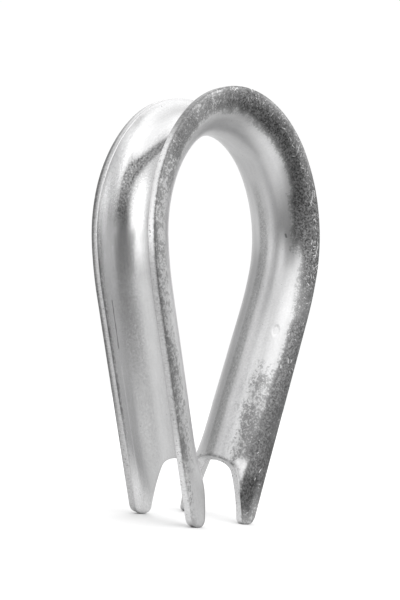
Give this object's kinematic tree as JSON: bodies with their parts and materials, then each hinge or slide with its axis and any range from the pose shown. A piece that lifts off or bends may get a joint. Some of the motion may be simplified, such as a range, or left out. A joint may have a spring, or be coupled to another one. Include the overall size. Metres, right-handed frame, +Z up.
{
  "type": "wire rope thimble",
  "caption": "Teardrop thimble of formed sheet steel: an outward-facing rope groove, a rounded back round the eye, and notched leg ends that leave rounded tips.",
  "frame": {"origin": "on the standing surface, midway between the four tips", "axes": "+Z up from the tips to the crown, +Y along the groove's width, X across the eye"},
  "size_m": [0.0364, 0.0116, 0.06],
  "materials": {
    "zinc_plated_steel": "satin zinc plating, mottled on the flanges, bright in the groove"
  },
  "bodies": {
    "root": {"thimble": "zinc_plated_steel"}
  },
  "joints": []
}
